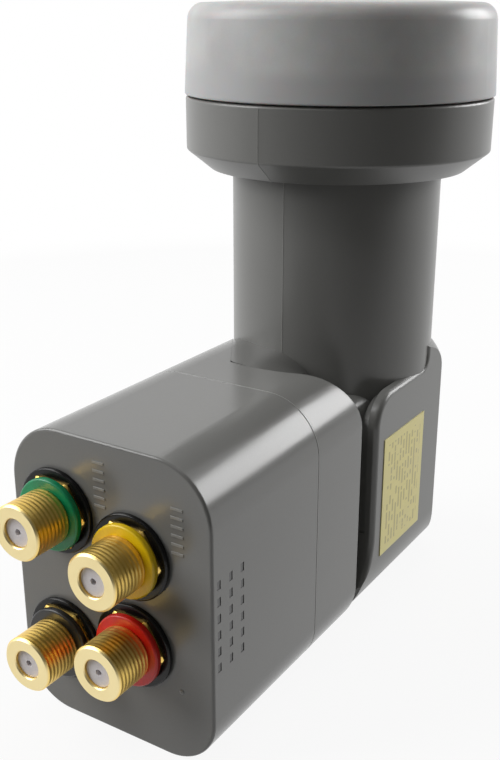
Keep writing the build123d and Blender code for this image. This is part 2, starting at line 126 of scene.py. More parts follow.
class NodeSheet:
    """The node tree of one material, or of the world, filled node by node."""

    def __init__(self, name: str, owner: bpy.types.World | None = None) -> None:
        """Start an empty sheet.

        Args:
            name: The material's name.
            owner: The world, where the sheet isn't a material's.
        """
        self.material = owner or bpy.data.materials.new(name)
        self.material.use_nodes = True
        self.tree = self.material.node_tree
        self.tree.nodes.clear()

    def add(self, kind: str, **settings: object) -> bpy.types.Node:
        """Add one node.

        Args:
            kind: The node's type without its ShaderNode prefix.
            settings: Node properties to set.

        Returns:
            The new node.
        """
        node = self.tree.nodes.new(f"ShaderNode{kind}")
        for name, value in settings.items():
            setattr(node, name, value)
        return node

    def link(self, source: bpy.types.NodeSocket, target: bpy.types.NodeSocket) -> None:
        """Join two sockets."""
        self.tree.links.new(source, target)

    def place(self) -> bpy.types.NodeSocket:
        """Point of the surface in the shared frame, in metres."""
        return self.add("TexCoord").outputs["Object"]

    def axes(self) -> tuple[bpy.types.NodeSocket, ...]:
        """X, Y and Z of the surface's point in the shared frame.

        Returns:
            The three values, in metres.
        """
        node = self.add("SeparateXYZ")
        self.link(self.place(), node.inputs["Vector"])
        return node.outputs["X"], node.outputs["Y"], node.outputs["Z"]

    def noise(
        self, size: float, detail: float = 3.0, roughness: float = 0.55
    ) -> bpy.types.NodeSocket:
        """Cloudy pattern from 0 to 1.

        Args:
            size: The pattern's grain in metres.
            detail: Number of finer layers.
            roughness: Strength of the finer layers.

        Returns:
            The pattern's value.
        """
        node = self.add("TexNoise")
        node.inputs["Scale"].default_value = 1.0 / size
        node.inputs["Detail"].default_value = detail
        node.inputs["Roughness"].default_value = roughness
        self.link(self.place(), node.inputs["Vector"])
        return node.outputs["Fac"]

    def spread(self, value: bpy.types.NodeSocket, low: float, high: float) -> bpy.types.NodeSocket:
        """Stretch the middle of a noise over a range.

        Args:
            value: A pattern from 0 to 1.
            low: What its dark parts become.
            high: What its bright parts become.

        Returns:
            The stretched value.
        """
        node = self.add("MapRange", interpolation_type="SMOOTHSTEP")
        node.inputs["From Min"].default_value = NOISE_LOW
        node.inputs["From Max"].default_value = NOISE_HIGH
        node.inputs["To Min"].default_value = low
        node.inputs["To Max"].default_value = high
        self.link(value, node.inputs["Value"])
        return node.outputs["Result"]

    def step(self, value: bpy.types.NodeSocket, start: float, end: float) -> bpy.types.NodeSocket:
        """Smooth change from 0 to 1 between two values.

        Args:
            value: The value to follow.
            start: Where the result is 0.
            end: Where the result is 1.

        Returns:
            The result.
        """
        node = self.add("MapRange", interpolation_type="SMOOTHSTEP")
        node.inputs["From Min"].default_value = start
        node.inputs["From Max"].default_value = end
        self.link(value, node.inputs["Value"])
        return node.outputs["Result"]

    def maths(self, operation: str, *values: bpy.types.NodeSocket | float) -> bpy.types.NodeSocket:
        """Combine values.

        Args:
            operation: The Math node's operation.
            values: Sockets or numbers, in order.

        Returns:
            The combined value.
        """
        node = self.add("Math", operation=operation)
        for socket, value in zip(node.inputs, values):
            if isinstance(value, bpy.types.NodeSocket):
                self.link(value, socket)
            else:
                socket.default_value = value
        return node.outputs["Value"]

    def within(self, value: bpy.types.NodeSocket, low: float, high: float) -> bpy.types.NodeSocket:
        """1 where a value lies between two limits, and 0 elsewhere."""
        above = self.maths("GREATER_THAN", value, low)
        return self.maths("MULTIPLY", above, self.maths("LESS_THAN", value, high))

    def shown(self, mirrored: bpy.types.NodeSocket) -> bpy.types.NodeSocket:
        """Tell what is looked at from what only gives light.

        Args:
            mirrored: 1 where a mirror image counts as looked at.

        Returns:
            1 for what the camera sees, straight, through something clear or in such a mirror image.
        """
        path = self.add("LightPath")
        seen = self.maths(
            "MAXIMUM", path.outputs["Is Camera Ray"], path.outputs["Is Transmission Ray"]
        )
        image = self.maths("MULTIPLY", path.outputs["Is Glossy Ray"], mirrored)
        return self.maths("MAXIMUM", seen, image)

    def blend(
        self,
        factor: bpy.types.NodeSocket,
        first: bpy.types.NodeSocket | Colour,
        second: bpy.types.NodeSocket | Colour,
    ) -> bpy.types.NodeSocket:
        """Mix two colours.

        Args:
            factor: 0 for the first colour, 1 for the second.
            first: A colour or a colour socket.
            second: A colour or a colour socket.

        Returns:
            The mixed colour.
        """
        # The node keeps its two colours in sockets 6 and 7, and the mixed one in output 2.
        node = self.add("Mix", data_type="RGBA")
        self.link(factor, node.inputs["Factor"])
        for socket, value in ((node.inputs[6], first), (node.inputs[7], second)):
            if isinstance(value, bpy.types.NodeSocket):
                self.link(value, socket)
            else:
                socket.default_value = (*value, 1.0)
        return node.outputs[2]

    def bump(self, height: bpy.types.NodeSocket, depth: float) -> bpy.types.NodeSocket:
        """Fine relief.

        Args:
            height: A pattern from 0 to 1.
            depth: The relief's depth in metres.

        Returns:
            The bent surface direction.
        """
        node = self.add("Bump")
        node.inputs["Distance"].default_value = depth
        self.link(height, node.inputs["Height"])
        return node.outputs["Normal"]

    def surface(self, **values: float | Colour) -> bpy.types.Node:
        """Add the shader and its output.

        Args:
            values: Constants of the shader, by socket name with underscores for spaces.

        Returns:
            The shader node.
        """
        shader = self.add("BsdfPrincipled")
        for name, value in values.items():
            socket = shader.inputs[name.replace("_", " ")]
            socket.default_value = (*value, 1.0) if socket.type == "RGBA" else value
        output = self.add("OutputMaterial")
        self.link(shader.outputs["BSDF"], output.inputs["Surface"])
        return shader


@dataclass(frozen=True)
class Finish:
    """A surface with cloudy and flecked colour, uneven gloss and a fine relief."""

    name: str
    colour: Colour
    shade: Colour
    gloss: tuple[float, float] = (0.3, 0.4)
    cloud: float = 9 * MM
    grain: float = 0.35 * MM
    relief: float = 0.02 * MM
    fleck: float = 0.3
    metallic: float = 0.0
    coat: float = 0.0
    specular: float = 0.5

    def tint(self, sheet: NodeSheet) -> bpy.types.NodeSocket:
        """Colour of the surface, between the finish's two tones.

        Args:
            sheet: The material's sheet.

        Returns:
            The colour.
        """
        cloud = sheet.spread(sheet.noise(self.cloud), 0.0, 1.0 - self.fleck)
        fleck = sheet.spread(sheet.noise(self.grain, detail=2.0), 0.0, self.fleck)
        return sheet.blend(sheet.maths("ADD", cloud, fleck), self.shade, self.colour)

    def texture(self, sheet: NodeSheet) -> bpy.types.NodeSocket:
        """Height of the fine relief, from 0 to 1."""
        return sheet.noise(self.grain, detail=2.0)

    def shader(self, sheet: NodeSheet) -> bpy.types.Node:
        """Shader with the finish's constants."""
        return sheet.surface(
            Metallic=self.metallic, Coat_Weight=self.coat, Specular_IOR_Level=self.specular
        )

    def material(self) -> bpy.types.Material:
        """Build the material.

        Returns:
            A material that can be given to a piece.
        """
        sheet = NodeSheet(self.name)
        shader = self.shader(sheet)
        sheet.link(self.tint(sheet), shader.inputs["Base Color"])
        uneven = sheet.spread(sheet.noise(self.cloud, detail=1.0), *self.gloss)
        sheet.link(uneven, shader.inputs["Roughness"])
        sheet.link(sheet.bump(self.texture(sheet), self.relief), shader.inputs["Normal"])
        return sheet.material


@dataclass(frozen=True)
class CapPlastic(Finish):
    """Pale, slightly translucent plastic, with a painted shade where the spigot stands behind its lower
    wall.
    """

    band_top: float = 0.0
    # Painted shade of the spigot seen through the wall, below band_top.
    painted_spigot_shade: Colour = (0.4, 0.4, 0.4)
    band_edge: float = 1.2 * MM
    depth: float = 1.5 * MM
    translucency: float = 0.25

    def tint(self, sheet: NodeSheet) -> bpy.types.NodeSocket:
        """Cloudy colour, with a soft band of painted shade where the spigot stands behind the wall.

        Args:
            sheet: The material's sheet.

        Returns:
            The colour.
        """
        _, _, height = sheet.axes()
        # Below band_top the colour turns to a painted shade of the spigot behind the wall.
        above = sheet.step(height, self.band_top - self.band_edge, self.band_top)
        return sheet.blend(above, self.painted_spigot_shade, super().tint(sheet))

    def shader(self, sheet: NodeSheet) -> bpy.types.Node:
        """Shader that lets some light through the plastic."""
        return sheet.surface(
            Subsurface_Weight=self.translucency,
            Subsurface_Scale=self.depth,
            Specular_IOR_Level=self.specular,
        )


@dataclass(frozen=True)
class RecessShadePlastic(Finish):
    """Moulded plastic with painted shade on the floors of the grip marks in its two sides."""

    floor: tuple[float, float] = (19.25 * MM, 19.35 * MM)
    reach: tuple[float, float] = (-71.0 * MM, -63.0 * MM)
    heights: tuple[float, float] = (17.0 * MM, 34.5 * MM)
    # Painted shade for the recessed floors of the grip marks.
    recess_shade: Colour = (0.09, 0.09, 0.09)

    def tint(self, sheet: NodeSheet) -> bpy.types.NodeSocket:
        """Cloudy colour, with painted shade inside the marks.

        Args:
            sheet: The material's sheet.

        Returns:
            The colour.
        """
        across, along, height = sheet.axes()
        mask = sheet.within(sheet.maths("ABSOLUTE", across), *self.floor)
        for value, limits in ((along, self.reach), (height, self.heights)):
            mask = sheet.maths("MULTIPLY", mask, sheet.within(value, *limits))
        return sheet.blend(mask, super().tint(sheet), self.recess_shade)


@dataclass(frozen=True)
class GoldPlate(Finish):
    """Deep gold plating, paler towards the end faces."""

    face: float = 0.0
    face_colour: Colour = (0.9, 0.8, 0.5)
    face_depth: float = 0.4 * MM

    def tint(self, sheet: NodeSheet) -> bpy.types.NodeSocket:
        """Cloudy gold, which pales towards the end face.

        Args:
            sheet: The material's sheet.

        Returns:
            The colour.
        """
        _, along, _ = sheet.axes()
        behind = sheet.step(along, self.face, self.face + self.face_depth)
        return sheet.blend(behind, self.face_colour, super().tint(sheet))


@dataclass(frozen=True)
class LabelFilm(Finish):
    """Pale film with plain rows of ink up its height, which spell nothing."""

    ink: Colour = (0.2, 0.15, 0.05)
    strength: float = 0.45
    low: Point = (0.0, 0.0, 0.0)
    high: Point = (0.0, 0.0, 0.0)
    margin: float = 1.6 * MM
    row_pitch: float = 1.3 * MM
    row_fill: float = 0.45
    row_shift: float = 7.3
    word: float = 1.7 * MM
    word_edge: tuple[float, float] = (0.44, 0.5)

    def tint(self, sheet: NodeSheet) -> bpy.types.NodeSocket:
        """Film colour with rows of ink inside the margins.

        Args:
            sheet: The material's sheet.

        Returns:
            The colour.
        """
        _, along, height = sheet.axes()
        row = sheet.maths("DIVIDE", along, self.row_pitch)
        in_row = sheet.maths("LESS_THAN", sheet.maths("FRACT", row), self.row_fill)
        words = sheet.add("TexNoise", noise_dimensions="2D")
        words.inputs["Scale"].default_value = 1.0
        words.inputs["Detail"].default_value = 1.0
        spot = sheet.add("CombineXYZ")
        sheet.link(sheet.maths("DIVIDE", height, self.word), spot.inputs["X"])
        shift = sheet.maths("MULTIPLY", sheet.maths("FLOOR", row), self.row_shift)
        sheet.link(shift, spot.inputs["Y"])
        sheet.link(spot.outputs["Vector"], words.inputs["Vector"])
        in_word = sheet.step(words.outputs["Fac"], *self.word_edge)
        mask = sheet.maths("MULTIPLY", in_row, in_word)
        for value, axis in ((along, 1), (height, 2)):
            low, high = self.low[axis] + self.margin, self.high[axis] - self.margin
            mask = sheet.maths("MULTIPLY", mask, sheet.within(value, low, high))
        cover = sheet.maths("MULTIPLY", mask, self.strength)
        return sheet.blend(cover, super().tint(sheet), self.ink)


@dataclass
class Ring:
    """One ring of a turned mesh: its place along the axis and its radius at each angle."""

    along: float
    radius: Callable[[float], float]


@dataclass
class MeshSketch:
    """Points and faces of one piece, gathered before its mesh is made."""

    points: list[Point] = field(default_factory=list)
    faces: list[tuple[int, ...]] = field(default_factory=list)

    def add_points(self, points: Sequence[Point]) -> int:
        """Add points.

        Args:
            points: The points, in metres.

        Returns:
            The index of the first one.
        """
        start = len(self.points)
        self.points.extend(points)
        return start

    def turn(self, rings: Sequence[Ring], centre: tuple[float, float], segments: int) -> None:
        """Close rings about an axis parallel to Y into one skin, the last ring joined to the first.

        Args:
            rings: The rings in order, round the section.
            centre: The axis, as X and Z.
            segments: Number of points on a ring.
        """
        start = len(self.points)
        for ring in rings:
            for index in range(segments):
                angle = 2 * math.pi * index / segments
                radius = ring.radius(angle)
                x = centre[0] + radius * math.cos(angle)
                self.points.append((x, ring.along, centre[1] + radius * math.sin(angle)))
        for row in range(len(rings)):
            below = start + row * segments
            above = start + ((row + 1) % len(rings)) * segments
            for index in range(segments):
                after = (index + 1) % segments
                self.faces.append((below + index, below + after, above + after, above + index))

    def sweep(self, sections: Sequence[Sequence[Point]], loop: bool = False) -> None:
        """Close a row of matching sections into one solid.

        Args:
            sections: The sections in order, each with the same number of points.
            loop: Whether the last section joins the first, instead of a cap at both ends.
        """
        size, rows = len(sections[0]), len(sections)
        start = self.add_points([point for section in sections for point in section])
        for row in range(rows if loop else rows - 1):
            below, above = start + row * size, start + (row + 1) % rows * size
            for index in range(size):
                after = (index + 1) % size
                self.faces.append((below + index, below + after, above + after, above + index))
        if not loop:
            self.faces.append(tuple(start + index for index in range(size)))
            self.faces.append(tuple(start + (rows - 1) * size + index for index in range(size)))

    def piece(
        self, name: str, finish: bpy.types.Material, slot: str, crease: float = 35.0
    ) -> bpy.types.Object:
        """Make the piece and let it ride on the body.

        Args:
            name: The piece's name.
            finish: Its material.
            slot: The record's slot that the finish belongs to; not used.
            crease: Edges sharper than this angle in degrees stay sharp.

        Returns:
            The new object.
        """
        mesh = bpy.data.meshes.new(name)
        mesh.from_pydata(self.points, [], self.faces)
        skin = bmesh.new()
        skin.from_mesh(mesh)
        bmesh.ops.recalc_face_normals(skin, faces=skin.faces)
        skin.to_mesh(mesh)
        skin.free()
        mesh.polygons.foreach_set("use_smooth", [True] * len(mesh.polygons))
        mesh.set_sharp_from_angle(angle=math.radians(crease))
        mesh.materials.append(finish)
        piece = bpy.data.objects.new(name, mesh)
        bpy.context.scene.collection.objects.link(piece)
        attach(piece, BODY)
        log.info("made %s with %d faces", name, len(mesh.polygons))
        return piece


def dress(node: str, finish: bpy.types.Material) -> None:
    """Give a CAD node its finish.

    Args:
        node: The node's name.
        finish: The material that its surfaces take.
    """
    mesh = frame["nodes"][node].data
    mesh.materials.clear()
    mesh.materials.append(finish)
    log.info("dressed %s in %s", node, finish.name)


@dataclass
class FeedCap:
    """Weather cap over the horn, with its seal."""

    spigot_height: float = 6.3 * MM

    def build(self) -> None:
        """Dress the cap and the seal under its roof."""
        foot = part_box("feed_cap")[0][2]
        plastic = CapPlastic(
            "cap_plastic",
            colour=(0.59, 0.59, 0.585),
            shade=(0.46, 0.46, 0.46),
            band_top=foot + self.spigot_height,
            # Painted shade in the band where the spigot stands behind the cap's wall.
            painted_spigot_shade=(0.48, 0.48, 0.485),
            band_edge=3.0 * MM,
            gloss=(0.32, 0.42),
            cloud=15 * MM,
            fleck=0.12,
            relief=0.006 * MM,
            depth=4.0 * MM,
        )
        dress("feed_cap", plastic.material())
        seal = Finish("seal_rubber", colour=(0.02, 0.02, 0.021), shade=(0.012, 0.012, 0.013))
        dress("cap_seal", seal.material())


@dataclass
class Housing:
    """Grey moulded pieces: half shells, middle frame and front hood, with their marks."""

    left_tone: float = 0.20
    right_tone: float = 0.18
    box_tone: float = 0.19
    # Lighter grey for beads, ridges, pip and seam lip: a painted highlight on their edges.
    painted_highlight_tone: float = 0.27
    light_tint: Colour = (1.03, 1.03, 0.99)
    dark_tint: Colour = (0.96, 0.96, 0.92)
    shell_gloss: tuple[float, float] = (0.285, 0.325)
    box_gloss: tuple[float, float] = (0.17, 0.22)
    neck_radius: float = 20.0 * MM
    neck_foot: float = 45.0 * MM
    collar_foot_radius: float = 24.3 * MM
    collar_underside: float = 83.8 * MM
    collar_radius: float = 28.8 * MM
    collar_shoulder: float = 87.4 * MM
    collar_top: float = 96.5 * MM
    bead_width: float = 0.26 * MM
    bead_height: float = 0.05 * MM
    ridge_size: tuple[float, float, float] = (2.2 * MM, 0.1 * MM, 0.45 * MM)
    ridge_pitch: float = 1.45 * MM
    ridge_count: int = 6
    ridge_rise: float = 6.5 * MM
    ridge_gap: float = 0.3 * MM
    ridge_taper: float = 0.3
    box_half: float = 19.4 * MM
    box_height: float = 51.6 * MM
    box_top_radius: float = 10.0 * MM
    box_foot_radius: float = 9.0 * MM
    box_corner_steps: int = 12
    seam_reach: float = 40.1 * MM
    lip_width: float = 0.3 * MM
    lip_height: float = 0.02 * MM
    lip_root: float = 0.11 * MM
    web_turn: float = -58.0
    web_gap: float = 0.1 * MM
    ramp_turns: tuple[float, float] = (-64.0, 24.0)
    ramp_sections: int = 45
    ramp_fall_turn: float = -6.0
    ramp_fall: float = 7.0 * MM
    ramp_reach: float = 30.35 * MM
    ramp_sink: float = 0.05 * MM
    ramp_foot: float = 43.9 * MM
    ramp_shelf: float = 45.65 * MM
    ramp_shelf_turn: float = -48.0
    rib_sides: tuple[float, float] = (15.95 * MM, 18.25 * MM)
    rib_reach: tuple[float, float] = (19.0 * MM, 9.4 * MM)
    rib_heights: tuple[float, float] = (17.98 * MM, 43.6 * MM)
    rib_corner: float = 9.0 * MM
    rib_corner_steps: int = 8
    pip_place: tuple[float, float] = (13.4 * MM, 12.9 * MM)
    pip_radius: float = 0.45 * MM
    pip_height: float = 0.2 * MM
    pip_rings: int = 6
    pip_ring_turn: float = 16.0
    pip_segments: int = 24

    def plastic(
        self,
        name: str,
        tone: float,
        gloss: tuple[float, float],
        kind: type[Finish] = Finish,
    ) -> bpy.types.Material:
        """Grey moulded plastic.

        Args:
            name: The material's name.
            tone: Lightness of the grey.
            gloss: Range of its roughness.
            kind: The finish that it is made as.

        Returns:
            The material.
        """
        finish = kind(
            name,
            colour=tuple(tone * part for part in self.light_tint),
            shade=tuple(tone * part for part in self.dark_tint),
            gloss=gloss,
            cloud=25 * MM,
            grain=0.25 * MM,
            relief=0.004 * MM,
            fleck=0.5,
        )
        return finish.material()

    def bead(self, side: Side, finish: bpy.types.Material) -> bpy.types.Object:
        """Fine bead of plastic along the parting line of the half shells.

        Args:
            side: The side of the neck it runs down.
            finish: Lighter plastic that paints a highlight along the bead.

        Returns:
            The bead.
        """
        path = (
            (self.neck_radius, self.neck_foot),
            (self.neck_radius, self.collar_underside),
            (self.collar_foot_radius, self.collar_underside),
            (self.collar_radius, self.collar_shoulder),
            (self.collar_radius, self.collar_top),
        )
        lines = [Vector(after) - Vector(before) for before, after in zip(path, path[1:])]
        normals = [Vector((line.y, -line.x)).normalized() for line in lines]
        half, rise = self.bead_width / 2, self.bead_height
        sections = []
        for index, (radius, height) in enumerate(path):
            before, after = normals[max(index - 1, 0)], normals[min(index, len(normals) - 1)]
            mitre = (before + after) / (1 + before.dot(after))
            section = []
            for across, out in ((-half, -rise), (-half / 2, rise), (half / 2, rise), (half, -rise)):
                section.append(
                    (across, side.value * (radius + mitre.x * out), height + mitre.y * out)
                )
            sections.append(section)
        sketch = MeshSketch()
        sketch.sweep(sections)
        return sketch.piece(f"parting_bead_{side.name.lower()}", finish, "housing_plastic")

    def ridges(self, port: Port, finish: bpy.types.Material) -> bpy.types.Object:
        """Column of plain ridges above and beside an upper socket, moulded on the hood's face.

        Args:
            port: The socket that they stand beside.
            finish: Lighter plastic that paints a highlight on the ridges.

        Returns:
            The ridges.
        """
        low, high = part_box(port.node("seal_washer"))
        face = high[1]
        left = high[0] + self.ridge_gap
        middle = (low[2] + high[2]) / 2 + self.ridge_rise
        length, proud, width = self.ridge_size
        sketch = MeshSketch()
        for count in range(self.ridge_count):
            z = middle + (count - (self.ridge_count - 1) / 2) * self.ridge_pitch
            sections = []
            for rise in (0.0, proud):
                inset = self.ridge_taper * rise
                x0, x1 = left + inset, left + length - inset
                z0, z1 = z - width / 2 + inset, z + width / 2 - inset
                y = face - rise
                sections.append([(x0, y, z0), (x1, y, z0), (x1, y, z1), (x0, y, z1)])
            sketch.sweep(sections)
        return sketch.piece(f"{port.value}_tally_ridges", finish, "housing_plastic")

    def seam_lip(self, finish: bpy.types.Material) -> bpy.types.Object:
        """Fine lip of flash round the seam between frame and hood.

        Args:
            finish: Lighter plastic that paints a highlight along the lip.

        Returns:
            The lip.
        """
        high, low = self.box_top_radius, self.box_foot_radius
        corners = (
            (self.box_half - high, self.box_height - high, high),
            (high - self.box_half, self.box_height - high, high),
            (low - self.box_half, low, low),
            (self.box_half - low, low, low),
        )
        half, rise, root = self.lip_width / 2, self.lip_height, -self.lip_root
        profile = ((-half, root), (-half / 2, rise), (half / 2, rise), (half, root))
        sections = []
        for quarter, (x, z, radius) in enumerate(corners):
            for index in range(self.box_corner_steps + 1):
                angle = math.pi / 2 * (quarter + index / self.box_corner_steps)
                out_x, out_z = math.cos(angle), math.sin(angle)
                sections.append(
                    [
                        (
                            x + (radius + out) * out_x,
                            across - self.seam_reach,
                            max(z + (radius + out) * out_z, 0.0),
                        )
                        for across, out in profile
                    ]
                )
        sketch = MeshSketch()
        sketch.sweep(sections, loop=True)
        return sketch.piece("seam_lip", finish, "housing_plastic")

    def roof_height(self, x: float) -> float:
        """Height of the box's rounded roof at a place across it."""
        past = max(abs(x) - (self.box_half - self.box_top_radius), 0.0)
        return self.box_height - self.box_top_radius + math.sqrt(self.box_top_radius**2 - past**2)

    def neck_ramp(self, finish: bpy.types.Material) -> bpy.types.Object:
        """Block that closes the wedge between neck and roof, and falls away on the right.

        Args:
            finish: The box's material.

        Returns:
            The ramp.
        """
        start, end = self.ramp_turns
        inner = self.neck_radius - self.ramp_sink
        sections = []
        for index in range(self.ramp_sections):
            degrees = start + (end - start) * index / (self.ramp_sections - 1)
            turn = math.radians(degrees)
            lean = math.radians(degrees - self.web_turn)
            outer = min((self.neck_radius + self.web_gap) / math.cos(lean), self.ramp_reach)
            past = max(degrees - self.ramp_fall_turn, 0.0) / (end - self.ramp_fall_turn)
            roof = self.roof_height(outer * math.sin(turn))
            top = roof - self.ramp_sink - past**2 * self.ramp_fall
            foot = self.ramp_foot if degrees > self.ramp_shelf_turn else self.ramp_shelf
            sections.append(
                [
                    (radius * math.sin(turn), -radius * math.cos(turn), height)
                    for radius, height in (
                        (inner, top),
                        (outer, top),
                        (outer, foot),
                        (inner, foot),
                    )
                ]
            )
        sketch = MeshSketch()
        sketch.sweep(sections)
        return sketch.piece("neck_ramp", finish, "housing_plastic")

    def cheek_rib(self, name: str, hand: int, finish: bpy.types.Material) -> bpy.types.Object:
        """Rib behind a cheek's front edge, which closes the pocket beside the waist.

        Args:
            name: The piece's name.
            hand: 1 for the right cheek, -1 for the left one.
            finish: The shell's material.

        Returns:
            The rib.
        """
        (front, back), (foot, top) = self.rib_reach, self.rib_heights
        outline = [(-back, foot), (-front, foot)]
        for index in range(self.rib_corner_steps + 1):
            angle = math.pi / 2 * index / self.rib_corner_steps
            y = self.rib_corner * (1 - math.cos(angle)) - front
            outline.append((y, top - self.rib_corner * (1 - math.sin(angle))))
        outline.append((-back, top))
        sketch = MeshSketch()
        sketch.sweep([[(hand * x, y, z) for y, z in outline] for x in self.rib_sides])
        return sketch.piece(name, finish, "housing_plastic")

    def pip(self, finish: bpy.types.Material) -> bpy.types.Object:
        """Small moulded pip near the hood's lower corner.

        Args:
            finish: Lighter plastic that paints a highlight on the pip.

        Returns:
            The pip.
        """
        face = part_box("front_hood")[0][1]
        rings = []
        for index in range(self.pip_rings):
            angle = math.radians(self.pip_ring_turn * index)
            radius = self.pip_radius * math.cos(angle)
            rings.append(Ring(face - self.pip_height * math.sin(angle), level(radius)))
        sketch = MeshSketch()
        sketch.turn(rings, self.pip_place, self.pip_segments)
        return sketch.piece("hood_pip", finish, "housing_plastic")

    def build(self) -> None:
        """Dress the moulded pieces and add their marks."""
        left = self.plastic("left_shell_plastic", self.left_tone, self.shell_gloss)
        right = self.plastic("right_shell_plastic", self.right_tone, self.shell_gloss)
        # The box's finish paints shade on the floors of the grip marks in the hood's sides.
        box = self.plastic("box_plastic", self.box_tone, self.box_gloss, kind=RecessShadePlastic)
        # Beads, ridges, pip and seam lip take a lighter grey, a painted highlight where their edges
        # catch the light.
        highlight_finish = self.plastic("mark_plastic", self.painted_highlight_tone, self.shell_gloss)
        dress("left_shell", left)
        dress("right_shell", right)
        dress("middle_frame", box)
        dress("front_hood", box)
        for side in Side:
            self.bead(side, highlight_finish)
        for port in (Port.GREEN, Port.YELLOW):
            self.ridges(port, highlight_finish)
        self.pip(highlight_finish)
        self.seam_lip(highlight_finish)
        self.neck_ramp(box)
        self.cheek_rib("left_cheek_rib", -1, left)
        self.cheek_rib("right_cheek_rib", 1, right)


@dataclass
class SocketBank:
    """The four F sockets with rings, washers, insulators and contacts."""

    segments: int = 72
    bore_radius: float = 2.4 * MM
    crest_radius: float = 4.65 * MM
    thread_depth: float = 0.06 * MM
    thread_pitch: float = 0.794 * MM
    steps_per_turn: int = 8
    rim_chamfer: float = 0.35 * MM
    hex_flats: float = 11.0 * MM
    hex_chamfer: float = 0.2 * MM
    relief_radius: float = 4.4 * MM

    def gold(self) -> bpy.types.Material:
        """Gold plating with faint handling marks."""
        finish = GoldPlate(
            "gold_plate",
            colour=(0.94, 0.68, 0.20),
            shade=(0.86, 0.58, 0.14),
            face=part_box(Port.GREEN.node("socket"))[0][1],
            face_colour=(0.88, 0.74, 0.40),
            gloss=(0.34, 0.44),
            cloud=2.5 * MM,
            grain=0.12 * MM,
            relief=0.006 * MM,
            metallic=1.0,
        )
        return finish.material()

    def hex_radius(self, angle: float) -> float:
        """Radius of the hexagon at an angle."""
        turn = math.pi / 3
        return self.hex_flats / 2 / math.cos(angle % turn - turn / 2)

    def thread(self, start: float, end: float) -> list[Ring]:
        """Rings of a screw thread.

        Args:
            start: Where the thread begins along Y.
            end: Where it ends.

        Returns:
            The rings from start to end.
        """
        count = round((end - start) / self.thread_pitch * self.steps_per_turn)
        rings = []
        for index in range(count + 1):
            along = start + (end - start) * index / count

            def radius(angle: float, along: float = along) -> float:
                """Radius of the thread, which falls to its root between the turns."""
                turn = (along / self.thread_pitch + angle / (2 * math.pi)) % 1
                return self.crest_radius - self.thread_depth * (1 - abs(2 * turn - 1))

            rings.append(Ring(along, radius))
        return rings

    def body(self, port: Port, finish: bpy.types.Material) -> bpy.types.Object:
        """Threaded barrel with its hexagon, in place of the plain CAD socket.

        Args:
            port: The output it belongs to.
            finish: The plating.

        Returns:
            The barrel.
        """
        low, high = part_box(port.node("socket"))
        centre = ((low[0] + high[0]) / 2, (low[2] + high[2]) / 2)
        front, rear = low[1], high[1]
        ring_low, ring_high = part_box(port.node("ident_ring"))
        washer_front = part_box(port.node("seal_washer"))[0][1]
        ring_front, hex_front, hex_rear = ring_low[1], ring_high[1], washer_front
        corner = self.hex_flats / math.sqrt(3)

        def cut_hex(limit: float) -> Callable[[float], float]:
            """Hexagon trimmed to a circle."""
            return lambda angle: min(limit, self.hex_radius(angle))

        rings = [
            Ring(rear, level(self.bore_radius)),
            Ring(front + self.rim_chamfer / 2, level(self.bore_radius)),
            Ring(front, level(self.bore_radius + self.rim_chamfer / 2)),
            Ring(front, level(self.crest_radius - self.rim_chamfer)),
            Ring(front + self.rim_chamfer, level(self.crest_radius)),
        ]
        rings += self.thread(front + 2 * self.rim_chamfer, ring_front - self.rim_chamfer)
        rings += [
            Ring(ring_front, level(self.relief_radius)),
            Ring(hex_front, level(self.relief_radius)),
            Ring(hex_front, cut_hex(corner - 2 * self.hex_chamfer)),
            Ring(hex_front + self.hex_chamfer, cut_hex(corner)),
            Ring(hex_rear - self.hex_chamfer / 2, cut_hex(corner)),
            Ring(hex_rear, cut_hex(corner - self.hex_chamfer)),
            Ring(hex_rear, level(self.crest_radius)),
            Ring(rear, level(self.crest_radius)),
        ]
        sketch = MeshSketch()
        sketch.turn(rings, centre, self.segments)
        piece = sketch.piece(f"{port.value}_threaded_barrel", finish, "gold_plate", crease=28.0)
        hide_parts(port.node("socket"))
        return piece

    def build(self) -> None:
        """Make the barrels and dress what sits on and in them."""
        gold = self.gold()
        rubber = Finish(
            "washer_rubber",
            colour=(0.010, 0.010, 0.010),
            shade=(0.006, 0.006, 0.006),
            gloss=(0.14, 0.26),
            cloud=3 * MM,
            specular=0.25,
        ).material()
        white = Finish(
            "insulator_plastic",
            colour=(0.90, 0.86, 0.87),
            shade=(0.80, 0.75, 0.77),
            cloud=1.5 * MM,
        ).material()
        contact = Finish(
            "contact_metal",
            colour=(0.72, 0.68, 0.6),
            shade=(0.5, 0.46, 0.4),
            gloss=(0.28, 0.4),
            cloud=1 * MM,
            metallic=1.0,
        ).material()
        for port in Port:
            self.body(port, gold)
            dress(port.node("seal_washer"), rubber)
            dress(port.node("insulator"), white)
            dress(port.node("contact"), contact)
            colour, shade = DYES[port]
            ring = Finish(f"{port.value}_ring", colour, shade, gloss=(0.28, 0.36), cloud=3 * MM)
            dress(port.node("ident_ring"), ring.material())


@dataclass
class SideLabel:
    """Plain label on the right cheek."""

    def build(self) -> None:
        """Dress the label with rows of plain ink."""
        low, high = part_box("side_label")
        film = LabelFilm(
            "label_film",
            colour=(0.92, 0.83, 0.36),
            shade=(0.83, 0.73, 0.28),
            gloss=(0.3, 0.42),
            cloud=6 * MM,
            relief=0.004 * MM,
            low=tuple(low),
            high=tuple(high),
        )
        dress("side_label", film.material())


